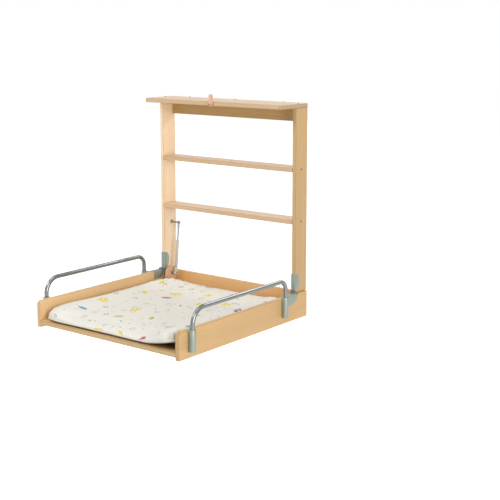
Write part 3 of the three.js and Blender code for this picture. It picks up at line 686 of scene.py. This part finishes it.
def pucker(mesh):
    """Gathers the cover into soft pleats round the mat's four corners, just above the seam."""
    low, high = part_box("changing_mat")
    middle, half = (low + high) / 2, (high - low) / 2
    offsets = []
    for vertex in mesh.vertices:
        corner = FRONT_CORNER if vertex.co.y < middle.y else REAR_CORNER
        across = abs(vertex.co.x - middle.x) - (half.x - corner)
        along = abs(vertex.co.y - middle.y) - (half.y - corner)
        depth = 0.0
        if across > 0 and along > 0 and vertex.normal.z > 0:
            angle = math.atan2(along, across)
            out = smooth_step((math.hypot(across, along) / corner - 0.35) / 0.5)
            depth = MAT_PUCKER * math.cos(4 * MAT_PUCKERS * angle) * math.sin(2 * angle) * out
        offsets.append(vertex.normal * depth)
    for vertex, offset in zip(mesh.vertices, offsets):
        vertex.co += offset


def unroll(mesh):
    """Lays the cover out flat in an attribute, so that the print runs on down the mat's sides."""
    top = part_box("changing_mat")[1].z
    flat = mesh.attributes.new("unrolled", "FLOAT_VECTOR", "POINT")
    for vertex in mesh.vertices:
        outward = Vector((vertex.normal.x, vertex.normal.y, 0))
        drop = (top - vertex.co.z) * outward.length
        place = vertex.co + outward * drop
        flat.data[vertex.index].vector = (place.x, place.y, 0)


def half_mask(tree, value):
    """One where a value is above zero, with a soft edge."""
    return ramp(tree, value, -PRINT_EDGE, PRINT_EDGE)


def flower(tree, u, v, reach):
    angle = calculate(tree, "ARCTAN2", v, u)
    petals = calculate(tree, "ABSOLUTE", calculate(tree, "COSINE", calculate(tree, "MULTIPLY", angle, 2.5)))
    outer = calculate(tree, "SUBTRACT", calculate(tree, "MULTIPLY_ADD", petals, 0.5, 0.5), reach)
    eye = calculate(tree, "SUBTRACT", reach, 0.2)
    return half_mask(tree, calculate(tree, "MINIMUM", outer, eye))


def leaf(tree, u, v, reach):
    belly = calculate(tree, "MULTIPLY_ADD", calculate(tree, "MULTIPLY", u, u), -0.42, 0.42)
    return half_mask(tree, calculate(tree, "SUBTRACT", belly, calculate(tree, "ABSOLUTE", v)))


def ring_mark(tree, u, v, reach):
    away = calculate(tree, "ABSOLUTE", calculate(tree, "SUBTRACT", reach, 0.7))
    return half_mask(tree, calculate(tree, "SUBTRACT", 0.16, away))


def dot(tree, u, v, reach):
    return half_mask(tree, calculate(tree, "SUBTRACT", 0.8, reach))


def dash(tree, u, v, reach):
    narrow = calculate(tree, "MULTIPLY", calculate(tree, "ABSOLUTE", v), 5.0)
    extent = calculate(tree, "MAXIMUM", calculate(tree, "ABSOLUTE", u), narrow)
    return half_mask(tree, calculate(tree, "SUBTRACT", 0.9, extent))


def print_layer(tree, place, below, spacing, radius, motifs, inks, share):
    """One layer of the print: scattered motifs, each turned its own way, over the colour below."""
    inputs = {"Vector": place, "Scale": 1 / spacing, "Randomness": PRINT_LOOSENESS}
    cells = add_node(tree, "TexVoronoi", inputs, voronoi_dimensions="2D")
    centre = cells.outputs["Position"]
    chance = add_node(tree, "SeparateColor", {0: cells.outputs["Color"]})
    offset = add_node(tree, "VectorMath", {0: place, 1: centre}, operation="SUBTRACT").outputs[0]
    turn = calculate(tree, "MULTIPLY", chance.outputs[0], math.tau)
    facing = add_node(tree, "VectorRotate", {"Vector": offset, "Angle": turn}, rotation_type="Z_AXIS").outputs[0]
    sized = add_node(tree, "VectorMath", {0: facing, "Scale": 1 / radius}, operation="SCALE").outputs[0]
    reach = add_node(tree, "VectorMath", {0: sized}, operation="LENGTH").outputs["Value"]
    axes = add_node(tree, "SeparateXYZ", {0: sized})
    mask = motifs[0](tree, axes.outputs[0], axes.outputs[1], reach)
    for number, motif in enumerate(motifs[1:], 1):
        other = motif(tree, axes.outputs[0], axes.outputs[1], reach)
        picked = calculate(tree, "GREATER_THAN", chance.outputs[1], number / len(motifs))
        mask = add_node(tree, "Mix", {0: picked, 2: mask, 3: other}).outputs[0]
    palette = add_node(tree, "ValToRGB", {0: chance.outputs[2]})
    palette.color_ramp.interpolation = "CONSTANT"
    for number, ink in enumerate(inks):
        stops = palette.color_ramp.elements
        stop = stops[0] if number == 0 else stops.new(number / len(inks))
        stop.color = ink
    palette.color_ramp.elements.remove(palette.color_ramp.elements[-1])
    lot = add_node(tree, "TexWhiteNoise", {"Vector": centre}, noise_dimensions="2D").outputs["Value"]
    present = calculate(tree, "LESS_THAN", lot, share)
    return blend_colours(tree, calculate(tree, "MULTIPLY", mask, present), below, palette.outputs[0])


def weave(tree, place):
    """The threads of a plain weave, crossing under the cover's coating."""
    scale = math.pi / 10 / WEAVE_PITCH
    warp = add_node(tree, "TexWave", {"Vector": place, "Scale": scale}, bands_direction="X")
    weft = add_node(tree, "TexWave", {"Vector": place, "Scale": scale}, bands_direction="Y")
    return calculate(tree, "MAXIMUM", warp.outputs["Fac"], weft.outputs["Fac"])


def cover_finish(name, printed):
    """Coated cotton: off-white, faintly clouded, with its print on top."""
    material = bpy.data.materials.new(name)
    tree = empty_tree(material)
    place = add_node(tree, "Attribute", attribute_name="unrolled").outputs["Vector"]
    if not printed:
        place = add_node(tree, "TexCoord").outputs["Object"]
    cloud = add_node(tree, "TexNoise", {"Vector": place, "Scale": 9.0, "Detail": 3.0}).outputs["Fac"]
    colour = blend_colours(tree, cloud, shaded(COVER_TONE, 0.95), shaded(COVER_TONE, 1.03))
    if printed:
        colour = print_layer(tree, place, colour, 0.042, 0.005, [dot, dash, dot], [SAGE, SLATE, OLIVE, PEACH], 0.5)
        colour = print_layer(tree, place, colour, 0.075, 0.013, [dash, leaf, ring_mark],
                             [SLATE, SAGE, PEACH, OLIVE, SLATE, SAGE], 0.75)
        colour = print_layer(tree, place, colour, 0.15, 0.026, [flower, leaf, flower, leaf],
                             [YELLOW, RED, BLUE, OLIVE, YELLOW, PURPLE], 0.7)
        facing = add_node(tree, "SeparateXYZ", {0: add_node(tree, "TexCoord").outputs["Normal"]}).outputs[2]
        # Painted shade: the flat underside is made dark to deepen the shadow under the mat's edges.
        colour = blend_colours(tree, ramp(tree, facing, *UNDERSIDE_SHADE_FACE), UNDERSIDE_SHADE_TONE, colour)
    bump = add_node(tree, "Bump", {"Strength": 0.25, "Distance": 0.0002, "Height": weave(tree, place)})
    surface = add_node(tree, "BsdfPrincipled", {
        "Base Color": colour,
        "Roughness": calculate(tree, "MULTIPLY_ADD", cloud, 0.16, 0.42),
        "Coat Weight": 0.12,
        "Coat Roughness": 0.4,
        "Normal": bump.outputs[0],
    })
    add_node(tree, "OutputMaterial", {"Surface": surface.outputs[0]})
    return material


def add_seam(skin):
    """The welded edge of the cover, a narrow flange along the line where its upper side meets its lower."""
    shape = bmesh.new()
    shape.from_mesh(skin.data)
    rim = {vertex for edge in shape.edges if edge.link_faces[0].normal.z * edge.link_faces[1].normal.z < 0
           for vertex in edge.verts}
    bmesh.ops.delete(shape, geom=[vertex for vertex in shape.verts if vertex not in rim], context="VERTS")
    low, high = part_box("changing_mat")
    middle, half = (low + high) / 2, (high - low) / 2

    def widen(points, distance):
        wider = (1 + distance / half.x, 1 + distance / half.y, 1)
        bmesh.ops.scale(shape, vec=wider, verts=points, space=Matrix.Translation(-middle))

    widen(shape.verts[:], -SEAM_IN)
    outer = bmesh.ops.extrude_edge_only(shape, edges=shape.edges[:])["geom"]
    widen([part for part in outer if isinstance(part, bmesh.types.BMVert)], SEAM_IN + SEAM_OUT)
    bmesh.ops.recalc_face_normals(shape, faces=shape.faces)
    seam = add_piece("mat_seam", shape, cover_finish("seam_cover", False))
    modifier = seam.modifiers.new("welt", "SOLIDIFY")
    modifier.thickness = SEAM_THICKNESS
    modifier.offset = 0
    ease_shading(seam)
    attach(seam, BODY_OF["changing_mat"])


def add_mat():
    shape = merged_copy("changing_mat")
    bmesh.ops.join_triangles(shape, faces=shape.faces, angle_face_threshold=math.pi, angle_shape_threshold=math.pi)
    mat = add_piece("padded_mat", shape, cover_finish("printed_cover", True))
    subdivide(mat, 2)
    apply_modifiers(mat)
    add_seam(mat)
    remesh = mat.modifiers.new("even_skin", "REMESH")
    remesh.mode = "VOXEL"
    remesh.voxel_size = MAT_VOXEL
    apply_modifiers(mat)
    swell(mat)
    pucker(mat.data)
    unroll(mat.data)
    mat.data.shade_smooth()
    subdivide(mat, 1)
    stand_for(mat, "mat_cover", "changing_mat")


add_mat()
